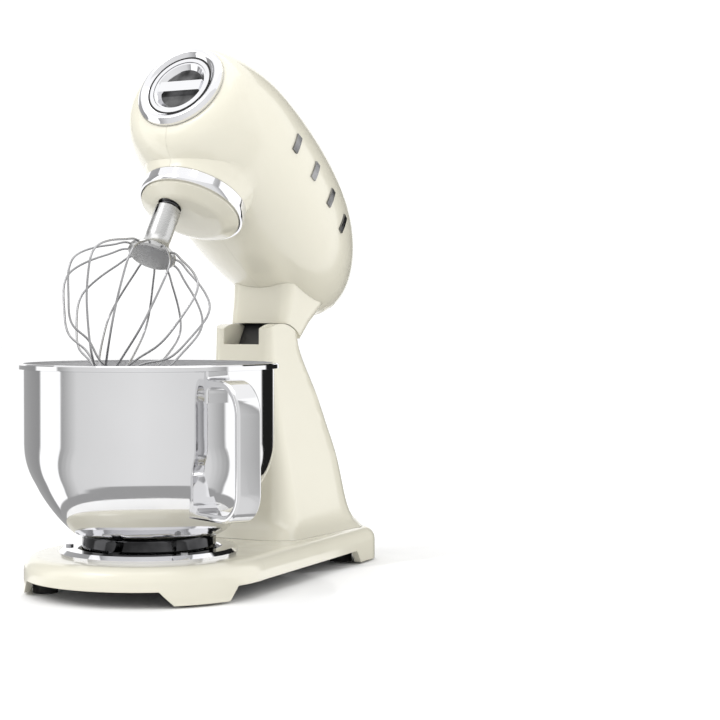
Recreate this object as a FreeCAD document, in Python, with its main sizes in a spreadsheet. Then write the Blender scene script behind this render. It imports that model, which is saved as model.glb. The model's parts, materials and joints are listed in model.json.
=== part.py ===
import FreeCAD, Part
import Sketcher
import math
import os
import re
from FreeCAD import Placement, Rotation, Vector

os.makedirs("parts", exist_ok=True)
doc = FreeCAD.newDocument("StandMixer")

# ---------------------------------------------------------------------------
# Driving dimensions, in millimetres and degrees.
#
# Every piece is drawn about the bowl's axis, with the front of the mixer
# towards -Y and the head closed. The stand pieces are then shifted by
# axis_x and axis_y, and the head pieces also turn about the hinge by head_tilt.
# ---------------------------------------------------------------------------
DIMENSIONS = [
    ("axis_x", -16.3, "bowl axis from the origin, across"),
    ("axis_y", -93.2, "bowl axis from the origin, front to back"),
    # stand
    ("base_front_r", 100, "front of the base, round the bowl axis"),
    ("base_join_x", 98, "half width where the round front ends"),
    ("base_join_y", 20, "place where the round front ends"),
    ("base_rear_x", 78, "half width at the rear corners"),
    ("base_rear_y", 262, "rear edge of the base"),
    ("base_corner", 26, "rear corner size"),
    ("base_top", 31, "top of the base"),
    ("base_clear", 2, "casting above the floor"),
    ("base_wall", 6, "wall of the base casting"),
    ("base_deck", 5, "thickness of the base's top"),
    ("base_round", 12, "rounding of the base's top edge"),
    ("arch_top", 13, "height of the arches between the feet"),
    ("cover_low", 14, "underside of the bottom cover"),
    ("cover_thick", 2, "thickness of the bottom cover"),
    ("foot_r", 10, "rubber foot radius"),
    ("ring_r", 72, "bowl clamp ring radius"),
    ("ring_bore", 57, "bowl clamp ring bore"),
    ("ring_thick", 5, "bowl clamp ring height"),
    ("hinge_y", 160, "hinge axis behind the bowl axis"),
    ("hinge_z", 167, "hinge axis above the floor"),
    ("head_tilt", 32, "tilt of the raised head"),
    ("cheek_r", 48, "round top of the column, about the hinge"),
    ("cheek_in", 18, "half width of the slot between the cheeks"),
    ("notch_front", 197, "bottom of the slot at the front"),
    ("notch_rear", 186, "bottom of the slot at the rear"),
    ("pin_r", 6, "hinge pin radius"),
    ("pin_half", 26, "half length of the hinge pin"),
    ("button_z", 130, "release button height"),
    ("button_stroke", 4, "release button travel"),
    # bowl
    ("bowl_r", 101.3, "outside radius of the bowl wall"),
    ("bowl_wall", 1.2, "sheet thickness of the bowl"),
    ("rim_r", 105, "outside radius of the rolled rim"),
    ("rim_z", 184, "top of the bowl"),
    ("foot_ring_r", 54, "bowl foot radius"),
    ("handle_turn", 65.6, "handle direction, from the front towards the right"),
    ("handle_wide", 21, "width of the handle strap"),
    ("handle_r", 147, "reach of the handle"),
    ("handle_thick", 6, "thickness of the handle strap"),
    ("handle_top", 173.5, "top of the handle"),
    ("handle_low", 65.5, "underside of the handle"),
    # head
    ("shell_wall", 3, "wall of the head shells"),
    ("disc_y", -66, "front face of the head"),
    ("disc_z", 314, "centre of the front face"),
    ("bezel_r", 39.3, "front bezel outer radius"),
    ("bezel_bore", 29.5, "front bezel inner radius"),
    ("gasket_bore", 27.8, "black gasket inner radius"),
    ("hub_ring_bore", 24.5, "inner chrome ring bore"),
    ("cap_r", 24.2, "hub cap radius"),
    ("band_r", 44.8, "drive band outer radius"),
    ("band_bore", 43.2, "drive band inner radius"),
    ("band_low", 236, "drive band lower edge"),
    ("band_tall", 12.5, "drive band height"),
    ("collar_gap", 0.8, "gap between collar and column top"),
    ("lever_off", -18, "lean of the speed lever in its off position"),
    # drive
    ("tool_off", 20, "tool shaft offset from the bowl axis"),
    ("tool_turn", 250, "direction of the offset at rest"),
    ("gear_module", 1, "module of ring gear and pinion"),
    ("pinion_teeth", 20, "teeth of the pinion"),
    ("ring_teeth", 60, "teeth of the ring gear"),
    ("wheel_teeth", 24, "teeth of the worm wheel"),
    ("worm_starts", 2, "starts of the worm"),
    ("wheel_r", 18, "pitch radius of the worm wheel"),
    ("worm_r", 8, "pitch radius of the worm"),
    ("motor_z", 300, "motor axis height, head closed"),
    ("shaft_r", 5, "radius of the centre and tool shafts"),
    ("shaft_fit", 0.06, "radial running fit"),
    # whisk
    ("whisk_top", 224, "top of the whisk hub"),
    ("whisk_hub_r", 10.7, "radius of the whisk hub"),
    ("flange_r", 20, "radius of the whisk flange"),
    ("flange_low", 176, "underside of the whisk flange"),
    ("cage_r", 63, "widest radius of the whisk cage"),
    ("cage_low", 56, "lowest point of the whisk cage"),
    ("wire_r", 1.2, "whisk wire radius"),
    ("whisk_loops", 6, "number of wire loops"),
]

sheet = doc.addObject("Spreadsheet::Sheet", "Dims")
for row, (alias, size, note) in enumerate(DIMENSIONS, start=1):
    sheet.set("A%d" % row, alias)
    sheet.set("B%d" % row, str(size))
    sheet.set("C%d" % row, note)
    sheet.setAlias("B%d" % row, alias)
doc.recompute()

dim = {alias: float(sheet.get(alias)) for alias, _, _ in DIMENSIONS}
ALIAS = re.compile(r"\b(" + "|".join(sorted(dim, key=len, reverse=True)) + r")\b")
X_AXIS = Rotation(Vector(0, 1, 0), 90)
Y_AXIS = Rotation(Vector(1, 0, 0), -90)
FRONT_AXIS = Rotation(Vector(1, 0, 0), 90)


def bound(text):
    """An expression on the sheet's cells from one on their aliases."""
    return ALIAS.sub(r"Dims.\1", text)


def bind(obj, prop, size):
    """Set a property to a number, or bind it to an expression."""
    if isinstance(size, str):
        obj.setExpression(prop, bound(size))
    else:
        setattr(obj, prop, size)


def solid(kind, name, at=(0, 0, 0), turn=None, **sizes):
    """A Part primitive whose sizes and place may be expressions."""
    obj = doc.addObject("Part::" + kind, name)
    base = Vector(*[number(c) for c in at])
    obj.Placement = Placement(base, turn or Rotation())
    for prop, size in sizes.items():
        bind(obj, prop, size)
    for letter, coordinate in zip("xyz", at):
        if isinstance(coordinate, str):
            obj.setExpression("Placement.Base." + letter, bound(coordinate))
    return obj


def box(name, low, high):
    """A box between two corners given as numbers."""
    return solid("Box", name, low, Length=high[0] - low[0], Width=high[1] - low[1], Height=high[2] - low[2])


def fuse(name, *pieces):
    obj = doc.addObject("Part::MultiFuse", name)
    obj.Shapes = list(pieces)
    return obj


def cut(name, base, *tools):
    obj = doc.addObject("Part::Cut", name)
    obj.Base = base
    obj.Tool = tools[0] if len(tools) == 1 else fuse(name + "_tools", *tools)
    return obj


def common(name, first, second):
    obj = doc.addObject("Part::Common", name)
    obj.Base = first
    obj.Tool = second
    return obj


def made(name, shape):
    """A shape from Part's own functions, for curves that no primitive gives."""
    obj = doc.addObject("Part::Feature", name)
    obj.Shape = shape
    return obj


def group(name, shapes):
    """Several separate solids of one kind in one piece."""
    return made(name, Part.makeCompound(shapes))


# Placements of the bodies -----------------------------------------------------
STAND = Placement(Vector(dim["axis_x"], dim["axis_y"], 0), Rotation())
hinge = Vector(0, dim["hinge_y"], dim["hinge_z"])
TILT = Placement(Vector(), Rotation(Vector(1, 0, 0), -dim["head_tilt"]), hinge)
HEAD = STAND * TILT
tool_angle = math.radians(dim["tool_turn"])
tool_place = Vector(math.cos(tool_angle), math.sin(tool_angle), 0) * dim["tool_off"]
TOOL = HEAD * Placement(tool_place, Rotation(Vector(0, 0, 1), dim["tool_turn"]))
nodes = []


def node(label, obj, frame):
    """Register a finished sub-part with its label and its place."""
    obj.Label = label
    for letter in "xyz":
        obj.setExpression("Placement.Base." + letter, None)
    obj.Placement = frame * obj.Placement
    nodes.append(obj)


# Sketches ---------------------------------------------------------------------
def origin_plane(body, role):
    return next(f for f in body.Origin.OriginFeatures if f.Role == role)


def sketch_on(body, role, name):
    sketch = body.newObject("Sketcher::SketchObject", name)
    sketch.AttachmentSupport = [(origin_plane(body, role), "")]
    sketch.MapMode = "FlatFace"
    return sketch


def outline(sketch, points):
    """Closed outline through the points. A point is (x, y), each a number or an
    expression; (x, y, (mx, my)) reaches the next point by an arc through (mx, my)."""
    ends = [Vector(number(p[0]), number(p[1]), 0) for p in points]
    flipped = []
    for i, point in enumerate(points):
        start = ends[i]
        end = ends[(i + 1) % len(ends)]
        flipped.append(False)
        if len(point) == 3:
            middle = Vector(number(point[2][0]), number(point[2][1]), 0)
            flipped[i] = (middle - start).cross(end - middle).z < 0
            arc = Part.Arc(end, middle, start) if flipped[i] else Part.Arc(start, middle, end)
            sketch.addGeometry(arc)
        else:
            sketch.addGeometry(Part.LineSegment(start, end))
    for i, point in enumerate(points):
        first = 2 if flipped[i] else 1
        before_end = 1 if flipped[i - 1] else 2
        for axis, coordinate in (("DistanceX", point[0]), ("DistanceY", point[1])):
            size = number(coordinate)
            index = sketch.addConstraint(Sketcher.Constraint(axis, -1, 1, i, first, size))
            if isinstance(coordinate, str):
                sketch.setExpression("Constraints[%d]" % index, bound(coordinate))
        before = (i - 1) % len(points)
        sketch.addConstraint(Sketcher.Constraint("Coincident", before, before_end, i, first))


def number(coordinate):
    """The value of a coordinate given as a number or as sums of aliases."""
    if not isinstance(coordinate, str):
        return float(coordinate)
    total = 0.0
    for sign, word in re.findall(r"([+-]?)\s*([a-z_0-9.]+)", coordinate):
        size = dim[word] if word in dim else float(word)
        total += -size if sign == "-" else size
    return total


def pad_body(name, role, points, length, reverse=False, middle=False):
    body = doc.addObject("PartDesign::Body", name)
    sketch = sketch_on(body, role, name + "_outline")
    outline(sketch, points)
    pad = body.newObject("PartDesign::Pad", name + "_pad")
    pad.Profile = sketch
    bind(pad, "Length", length)
    pad.Reversed = reverse
    pad.Midplane = middle
    sketch.Visibility = False
    return body, pad


def spin_body(name, points):
    """A revolved piece: the outline lies in the XZ plane, (radius, height)."""
    body = doc.addObject("PartDesign::Body", name)
    sketch = sketch_on(body, "XZ_Plane", name + "_outline")
    outline(sketch, points)
    turn = body.newObject("PartDesign::Revolution", name + "_turn")
    turn.Profile = sketch
    turn.ReferenceAxis = (sketch, ["V_Axis"])
    turn.Angle = 360
    return body, turn


def ring_points(bore, outer, low, high):
    return [(bore, low), (outer, low), (outer, high), (bore, high)]


# ---------------------------------------------------------------------------
# Stand
# ---------------------------------------------------------------------------
def base_plan(inset):
    """Plan of the base: round at the front, straight sides, round rear corners."""
    less = " - %s" % inset
    more = " + %s" % inset
    side = dim["base_rear_x"] - inset
    rear = dim["base_rear_y"] - inset
    bulge = dim["base_corner"] * (1 - math.sqrt(0.5))
    return [
        ("-base_join_x" + more, "base_join_y", (0, "-base_front_r" + more)),
        ("base_join_x" + less, "base_join_y"),
        ("base_rear_x" + less, "base_rear_y - base_corner" + less, (side - bulge, rear - bulge)),
        ("base_rear_x - base_corner" + less, "base_rear_y" + less),
        ("-base_rear_x + base_corner" + more, "base_rear_y" + less, (bulge - side, rear - bulge)),
        ("-base_rear_x" + more, "base_rear_y - base_corner" + less),
    ]


def upper_edges(shape, level):
    """Names of the edges that lie in the plane z = level."""
    names = []
    for i, edge in enumerate(shape.Edges, start=1):
        bounds = edge.BoundBox
        if abs(bounds.ZMin - level) < 1e-6 and abs(bounds.ZMax - level) < 1e-6:
            names.append("Edge%d" % i)
    return names


def base_block(name):
    """The base without its hollow, rounded along its top edge."""
    body, pad = pad_body(name, "XY_Plane", base_plan(0), "base_top - base_clear")
    doc.recompute()
    fillet = body.newObject("PartDesign::Fillet", name + "_round")
    fillet.Base = (pad, upper_edges(pad.Shape, number("base_top - base_clear")))
    bind(fillet, "Radius", "base_round")
    body.Placement = Placement(Vector(0, 0, dim["base_clear"]), Rotation())
    doc.recompute()
    return body


def base_casting():
    body = base_block("base_body")
    hollow = sketch_on(body, "XY_Plane", "base_hollow_outline")
    outline(hollow, base_plan(dim["base_wall"]))
    pocket = body.newObject("PartDesign::Pocket", "base_hollow")
    pocket.Profile = hollow
    bind(pocket, "Length", "base_top - base_clear - base_deck")
    pocket.Reversed = True
    front = arch("arch_front", (0, -90), 63, 60, 0)
    rear = arch("arch_rear", (0, 262), 40, 30, 0)
    left = arch("arch_left", (-90, 92), 112, 60, 90)
    right = arch("arch_right", (90, 92), 112, 60, 90)
    holes = [
        solid("Cylinder", "deck_hole_%d" % i, (x, y, 20), Radius=2.6, Height=20)
        for i, (x, y) in enumerate(column_bolt_places())
    ]
    return cut("base_cut", body, front, rear, left, right, *holes)


def arch(name, middle, half, depth, turn):
    """Opening under the base with leaning ends, along X, or along Y when turned."""
    top = dim["arch_top"]
    half_low = half + 10
    profile = [(-half_low - 1, -1), (half_low + 1, -1), (half, top), (-half, top)]
    body, _ = pad_body(name, "XZ_Plane", profile, depth, middle=True)
    body.Placement = Placement(Vector(middle[0], middle[1], 0), Rotation(Vector(0, 0, 1), turn))
    return body


def column_bolt_places():
    return [(x, y) for x in (-22, 22) for y in (150, 215)]


def foot_places():
    return [(-67, -49), (67, -49), (-52, 226), (52, 226)]


def base_bottom_cover():
    body, _ = pad_body("cover_body", "XY_Plane", base_plan(dim["base_wall"] + 0.3), "cover_thick")
    body.Placement = Placement(Vector(0, 0, dim["cover_low"]), Rotation())
    return body


def rubber_feet():
    feet = []
    for i, (x, y) in enumerate(foot_places()):
        puck = solid("Cylinder", "foot_%d" % i, (x, y, 0), Radius="foot_r", Height="cover_low")
        well = solid("Cylinder", "foot_well_%d" % i, (x, y, -1), Radius=4, Height=3)
        feet.append(cut("foot_cut_%d" % i, puck, well))
    return fuse("feet", *feet)


def bottom_screws():
    screws = []
    for i, (x, y) in enumerate([(-70, 60), (70, 60), (0, -80), (0, 245)]):
        place = (x, y, "cover_low - 1.6")
        screws.append(solid("Cylinder", "bottom_screw_%d" % i, place, Radius=3.2, Height=1.6))
    return fuse("bottom_screw_group", *screws)


def bowl_clamp_ring():
    """Chrome ring with a bevelled outer edge and three entry gaps for the bowl's lugs."""
    body, _ = spin_body("clamp_body", [
        ("ring_bore", "base_top"),
        ("ring_r", "base_top"),
        ("ring_r", "base_top + 2"),
        ("ring_r - 3", "base_top + ring_thick"),
        ("ring_bore + 1", "base_top + ring_thick"),
        ("ring_bore", "base_top + 4"),
    ])
    gaps = [
        solid("Box", "lug_gap_%d" % i, (0, -5, "base_top + 2"), Rotation(Vector(0, 0, 1), 120 * i + 30),
              Length=61, Width=10, Height=6)
        for i in range(3)
    ]
    return cut("clamp_cut", body, *gaps)


def clamp_ring_screws():
    heads = []
    for i in range(3):
        angle = math.radians(120 * i + 90)
        x, y = 64 * math.cos(angle), 64 * math.sin(angle)
        head = solid("Cylinder", "ring_screw_%d" % i, (x, y, "base_top + ring_thick"), Radius=3, Height=1.4)
        slot = solid("Box", "ring_slot_%d" % i, (x - 4, y - 0.4, "base_top + ring_thick + 0.8"),
                     Length=8, Width=0.8, Height=2)
        heads.append(cut("ring_screw_cut_%d" % i, head, slot))
    return fuse("ring_screws", *heads)


# Column sections: height, front, rear, half width, corner
COLUMN = [
    (23, 99, 257, 75, 28),
    (31, 104, 255, 69, 26),
    (40, 120, 253, 58, 22),
    (60, 131, 250, 50, 18),
    (95, 137, 245, 42.5, 14),
    (125, 138.5, 234, 37, 12),
    (150, 139, 223, 33.5, 11),
    (180, 139.5, 203, 30.5, 9),
    (197, 140, 194, 29.5, 8),
    (218, 140, 181, 29, 8),
]


def rounded_wire(z, front, rear, half, corner):
    """Rounded rectangle at height z."""
    points = []
    for sx, y, sy in ((1, front, 1), (1, rear, -1), (-1, rear, -1), (-1, front, 1)):
        points.append((sx * half, y, -sx, sy))
    edges = []
    bends = []
    for i, (x, y, dx, dy) in enumerate(points):
        along_first = i % 2 == 0
        side = Vector(x + dx * corner, y, z)
        face = Vector(x, y + dy * corner, z)
        k = 1 - math.sqrt(0.5)
        middle = Vector(x + dx * corner * k, y + dy * corner * k, z)
        bends.append((side, middle, face) if along_first else (face, middle, side))
    for i, (start, middle, end) in enumerate(bends):
        edges.append(Part.Arc(start, middle, end).toShape())
        edges.append(Part.LineSegment(end, bends[(i + 1) % 4][0]).toShape())
    return Part.Wire(edges)


def column_loft(inset):
    wires = []
    for z, front, rear, half, corner in COLUMN:
        wires.append(rounded_wire(z, front + inset, rear - inset, half - inset, max(corner - inset, 3)))
    return Part.makeLoft(wires, True, False)


def column_casting():
    """Hollow pillar whose round top is struck about the hinge, with a slot between two cheeks."""
    outer = made("column_outer", column_loft(0))
    inner = made("column_inner", column_loft(4))
    crown = solid("Cylinder", "column_crown", (-40, "hinge_y", "hinge_z"), X_AXIS,
                  Radius="cheek_r", Height=80)
    lower = box("column_lower", (-90, 90, 20), (90, 275, dim["hinge_z"] + 12))
    envelope = fuse("column_envelope", crown, lower)
    pillar = common("column_pillar", outer, envelope)
    cheek = dim["cheek_in"]
    hollow = common("column_hollow", inner, box("hollow_reach", (-90, 90, 36), (90, 275, 150)))
    slot = box("slot_middle", (-cheek, 145, 100), (cheek, 200, 300))
    front = box("slot_front", (-cheek, 120, dim["notch_front"]), (cheek, 150, 300))
    rear = box("slot_rear", (-cheek, 170, dim["notch_rear"]), (cheek, 240, 300))
    bore = solid("Cylinder", "hinge_bore", (-30, "hinge_y", "hinge_z"), X_AXIS, Radius="pin_r + 3", Height=60)
    button = box("button_gap", (-13.3, 205, dim["button_z"] - 7.3), (13.3, 250, dim["button_z"] + 7.3))
    gland = solid("Cylinder", "gland_gap", (0, 225, 48), Y_AXIS, Radius=5.5, Height=50)
    seat = solid("Cylinder", "gland_seat", (0, 250, 48), Y_AXIS, Radius=8, Height=20)
    threads = [
        solid("Cylinder", "column_thread_%d" % i, (x, y, 30), Radius=2.5, Height=8)
        for i, (x, y) in enumerate(column_bolt_places())
    ]
    base = base_block("column_bed")
    return cut("column_cut", pillar, hollow, slot, front, rear, bore, button, gland, seat, base, *threads)


def column_bolts():
    bolts = []
    for i, (x, y) in enumerate(column_bolt_places()):
        shank = solid("Cylinder", "bolt_shank_%d" % i, (x, y, 22), Radius=2.5, Height=14)
        head = solid("Prism", "bolt_head_%d" % i, (x, y, 18.5), Polygon=6, Circumradius=4.5, Height=3.5)
        washer = solid("Cylinder", "bolt_washer_%d" % i, (x, y, 22), Radius=5.5, Height=4)
        bolts.append(fuse("bolt_%d" % i, shank, head, washer))
    return fuse("bolts", *bolts)


def hinge_pin():
    pin = solid("Cylinder", "pin_rod", ("-pin_half", "hinge_y", "hinge_z"), X_AXIS, Radius="pin_r",
                Height="2 * pin_half")
    return pin


def hinge_bushes():
    bushes = []
    for name, x in (("left", "-pin_half"), ("right", "cheek_in + 0.5")):
        sleeve = solid("Cylinder", "bush_" + name, (x, "hinge_y", "hinge_z"), X_AXIS, Radius="pin_r + 3",
                       Height="pin_half - cheek_in - 0.5")
        hole = solid("Cylinder", "bush_hole_" + name, (-40, "hinge_y", "hinge_z"), X_AXIS,
                     Radius="pin_r", Height=80)
        bushes.append(cut("bush_cut_" + name, sleeve, hole))
    return fuse("bushes", *bushes)


def latch_housing():
    """Guide for the release button, cast against the inside of the column's rear wall."""
    z = dim["button_z"]
    block = box("latch_block", (-17, 205, z - 11), (17, 240, z + 11))
    guide = box("latch_guide", (-13.3, 208, z - 7.3), (13.3, 245, z + 7.3))
    return cut("latch_cut", common("latch_fitted", block, made("latch_wall", column_loft(4))), guide)


def release_button():
    z = dim["button_z"]
    key = box("button_key", (-13, 216, z - 7), (13, 239, z + 7))
    doc.recompute()
    rounded = doc.addObject("Part::Fillet", "button_round")
    rounded.Base = key
    rounded.Edges = [(i, 1.5, 1.5) for i in range(1, 13)]
    well = solid("Cylinder", "button_well", (0, 215, "button_z"), Y_AXIS, Radius=4.5, Height=5)
    return cut("button_cut", rounded, well)


def spring(name, radius, wire, pitch, length):
    """A coil along +Z from z = 0."""
    helix = Part.makeHelix(pitch, length - 2 * wire, radius)
    start = Part.Wire(Part.Circle(Vector(radius, 0, 0), Vector(0, 1, 0), wire).toShape())
    coil = Part.Wire(helix).makePipeShell([start], True, True)
    coil.translate(Vector(0, 0, wire))
    return made(name, coil)


def latch_spring():
    coil = spring("latch_coil", 3.2, 0.4, 2, 11.6)
    coil.Placement = Placement(Vector(0, 208.6, dim["button_z"]), Y_AXIS)
    return coil


def cord_gland():
    collar = solid("Cylinder", "gland_collar", (0, 250, 48), Y_AXIS, Radius=8, Height=6)
    sleeve = solid("Cylinder", "gland_sleeve", (0, 241, 48), Y_AXIS, Radius=5.5, Height=10)
    hole = solid("Cylinder", "gland_hole", (0, 230, 48), Y_AXIS, Radius=3.4, Height=40)
    return cut("gland_cut", fuse("gland_both", collar, sleeve), hole)


def control_board():
    """Mains board under the column, on four pillars, with its larger components."""
    plate = box("board_plate", (-34, 60, 19), (34, 132, 20.6))
    pillars = [box("board_pillar_%d" % i, (x, y, 16), (x + 5, y + 5, 19))
               for i, (x, y) in enumerate([(-34, 60), (29, 60), (-34, 127), (29, 127)])]
    choke = solid("Cylinder", "board_choke", (-16, 78, 20.6), Radius=6, Height=4.6)
    relay = box("board_relay", (4, 70, 20.6), (22, 84, 25.4))
    block = box("board_terminals", (-14, 112, 20.6), (16, 124, 25.4))
    return fuse("board", plate, choke, relay, block, *pillars)


# ---------------------------------------------------------------------------
# Bowl
# ---------------------------------------------------------------------------
def bowl_outside():
    """Outside of the bowl from its flat bottom to the rolled rim."""
    return [
        (0, "base_top + 15"),
        (56, "base_top + 15"),
        (62.6, "base_top + 18.5", (79, "base_top + 36.5")),
        (92.3, "base_top + 58", (98.8, "base_top + 73")),
        ("bowl_r", "base_top + 90"),
        ("bowl_r", "rim_z - 5"),
        ("rim_r", "rim_z - 4.2"),
        ("rim_r", "rim_z - 1"),
        ("rim_r - 1", "rim_z"),
    ]


def bowl_shell():
    """Spun sheet: rolled rim, straight wall, curved flare and flat bottom."""
    inside = [
        ("bowl_r - 1.4", "rim_z"),
        ("bowl_r - bowl_wall", "rim_z - 2"),
        ("bowl_r - bowl_wall", "base_top + 90", (97.6, "base_top + 73.4")),
        (91.2, "base_top + 58.8", (78.2, "base_top + 37.6")),
        (62, "base_top + 19.8"),
        (55.5, "base_top + 16.2"),
        (0, "base_top + 16.2"),
    ]
    body, _ = spin_body("bowl_body", bowl_outside() + inside)
    return body


def bowl_foot():
    """Foot ring under the bowl, with three bayonet lugs."""
    body, _ = spin_body("bowl_foot_body", [
        ("foot_ring_r - 2", "base_top"),
        ("foot_ring_r", "base_top"),
        ("foot_ring_r", "base_top + 13"),
        ("foot_ring_r + 1", "base_top + 15"),
        ("foot_ring_r - 2", "base_top + 15"),
    ])
    lugs = [
        solid("Box", "lug_%d" % i, (0, -4, "base_top + 2.4"), Rotation(Vector(0, 0, 1), 120 * i + 30),
              Length=56.4, Width=8, Height=2.2)
        for i in range(3)
    ]
    core = solid("Cylinder", "lug_core", (0, 0, 0), Radius="foot_ring_r - 1", Height=100)
    return fuse("bowl_foot_all", body, cut("lugs_cut", fuse("lugs", *lugs), core))


def bend(x, z, radius, degrees):
    """Middle of a bend struck from (x, z)."""
    angle = math.radians(degrees)
    return (x + radius * math.cos(angle), z + radius * math.sin(angle))


def bowl_handle():
    """Bent strap: welded tab under the rim, a wide loop, and a foot on the flare."""
    reach = dim["handle_r"]
    thick = dim["handle_thick"]
    high, low = dim["handle_top"], dim["handle_low"]
    upper_r, lower_r = 27, 24
    upper_x, lower_x = reach - upper_r, reach - lower_r
    upper_z, lower_z = high - upper_r, low + lower_r
    tab = dim["bowl_r"] + 2
    inside = [
        (tab - 10, high - 18),
        (tab, high - 18),
        (tab, high - thick - 5, bend(tab + 5, high - thick - 5, 5, 135)),
        (tab + 5, high - thick),
        (upper_x, high - thick, bend(upper_x, upper_z, upper_r - thick, 45)),
        (reach - thick, upper_z),
        (reach - thick, lower_z, bend(lower_x, lower_z, lower_r - thick, -45)),
        (lower_x, low + thick),
        (92, low + thick, bend(92, low + thick + 4, 4, -110)),
        (89.2, low + thick + 1.2),
        (91.6, low + thick + 4.6),
        (80, low + thick + 4.6),
    ]
    outside = [
        (70, low),
        (lower_x, low, bend(lower_x, lower_z, lower_r, -45)),
        (reach, lower_z),
        (reach, upper_z, bend(upper_x, upper_z, upper_r, 45)),
        (upper_x, high),
        (tab + 4, high, bend(tab + 4, high + 4, 4, -135)),
        (tab, high + 4),
        (tab, high + 7),
        (tab - 10, high + 7),
    ]
    body, pad = pad_body("handle_body", "XZ_Plane", inside + outside, "handle_wide", middle=True)
    doc.recompute()
    rounded = body.newObject("PartDesign::Fillet", "handle_round")
    names = []
    for i, edge in enumerate(pad.Shape.Edges, start=1):
        bounds = edge.BoundBox
        if bounds.YLength < 1e-6 and bounds.XMax > lower_x + 1 and edge.Length > 5:
            names.append("Edge%d" % i)
    rounded.Base = (pad, names)
    rounded.Radius = 2
    filled, _ = spin_body("bowl_filled", bowl_outside() + [(0, "rim_z")])
    body.Placement = Placement(Vector(), Rotation(Vector(0, 0, 1), dim["handle_turn"] - 90))
    return cut("handle_cut", body, filled)


# ---------------------------------------------------------------------------
# Head shells and trim
# ---------------------------------------------------------------------------
# Head sections: place along Y, centre height, half width, half height

SECTIONS = [
    (-64, 314, 40, 40.2),
    (-58, 311, 49, 51),
    (-44, 310.3, 55.8, 60.3),
    (-20, 311, 61.1, 68.4),
    (25, 310.4, 65.3, 73.3),
    (75, 307, 66.8, 74),
    (125, 303.5, 63.3, 69),
    (165, 300, 55.6, 58),
    (195, 297, 43.5, 43.8),
    (214, 295.2, 29.4, 29.6),
    (225, 295, 16, 16),
    (229, 295, 7, 7),
]


def head_loft(name, grow):
    """Loft through upright ellipses, grown by a margin."""
    sections = []
    for i, (y, z, half, tall) in enumerate(SECTIONS):
        turn = Rotation(Vector(1, 0, 0), Vector(0, 0, 1), Vector(0, 1, 0), "XYZ")
        ring = doc.addObject("Part::Ellipse", "%s_ring_%d" % (name, i))
        ring.MajorRadius = tall + grow
        ring.MinorRadius = half + grow
        ring.Placement = Placement(Vector(0, y + end_shift(i, grow), z), turn)
        sections.append(ring)
    loft = doc.addObject("Part::Loft", name)
    loft.Sections = sections
    loft.Solid = True
    return loft


def end_shift(index, grow):
    """The rear end moves with the margin, and the front opens through the disc."""
    if index == 0 and grow < 0:
        return -0.5
    return grow * max(0, (index - 6) / 5)


def drive_neck(name, grow):
    """Cone between the head and the chrome drive band."""
    return solid("Cone", name, (0, 0, "band_low + band_tall"), Radius1=dim["band_r"] - 1 + grow,
                 Radius2=54 + grow, Height=30)


TRIM_BOX = ((-9, 78, 355), (9, 132, 400))


def head_solid():
    """Both shells in one: skin, drive neck, and the openings through it."""
    skin = fuse("head_skin", head_loft("head_outer", 0), drive_neck("neck_outer", 0))
    inside = head_loft("head_inner", -dim["shell_wall"])
    throat = drive_neck("neck_inner", -dim["shell_wall"])
    floor = solid("Cylinder", "throat_hole", (0, 0, 200), Radius="band_r - 4", Height=67)
    band_top = dim["band_low"] + dim["band_tall"]
    groove = solid("Cylinder", "band_groove", (0, 0, 200), Radius="band_r + 0.9", Height=band_top - 200)
    seat = solid("Cylinder", "band_seat", (0, 0, band_top), Radius="band_r - 0.4", Height=5)
    lever = box("lever_slot", (-3, 84, 355), (3, 126, 400))
    recess = cut("lever_recess", box("recess_box", *TRIM_BOX), head_loft("recess_bed", -0.8))
    beds = cut("bar_beds", bar_blocks("bar_cutters"), head_loft("bar_floor", -0.6))
    arm = box("arm_hole", (-17.3, 146.7, 225), (17.3, 170.3, 252))
    vents = [
        solid("Box", "vent_%d" % i, (-30, 196, 262 + 9.5 * i), Length=60, Width=44, Height=3)
        for i in range(3)
    ]
    hollow = fuse("head_seated", cut("head_hollow", skin, inside, throat), seat)
    return cut("head_shells", hollow, floor, groove, lever, recess, beds, arm, *vents)


def head_half(name, shells, side):
    low = (-100, -100, 200) if side < 0 else (0, -100, 200)
    high = (0, 300, 420) if side < 0 else (100, 300, 420)
    return common(name, shells, box(name + "_side", low, high))


def front_ring(name, bore, outer, depth, proud):
    """A turned ring on the front face. Depth runs into the head and proud out of it."""
    body, _ = spin_body(name, ring_points(bore, outer, -depth, proud))
    body.Placement = FRONT
    return body


FRONT = Placement(Vector(0, dim["disc_y"], dim["disc_z"]), FRONT_AXIS)


def front_bezel():
    body, _ = spin_body("bezel_body", [
        ("bezel_bore", -2),
        ("bezel_r", -2),
        ("bezel_r", 1),
        ("bezel_r - 2.5", 3.4, (str(dim["bezel_r"] - 5.5), 4)),
        ("bezel_bore + 2", 2.6),
        ("bezel_bore", 1.6),
    ])
    body.Placement = FRONT
    return body


def hub_socket():
    """Cup behind the cap, with a square drive hole for attachments."""
    body, _ = spin_body("socket_body", [
        (0, -34),
        ("cap_r + 3.6", -34),
        ("cap_r + 3.6", -2),
        ("cap_r + 0.3", -2),
        ("cap_r + 0.3", -30),
        (0, -30),
    ])
    hole = solid("Box", "socket_square", (-4, -4, -40), Length=8, Width=8, Height=30)
    holder = cut("socket_cut", body, hole)
    holder.Placement = FRONT
    return holder


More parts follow.
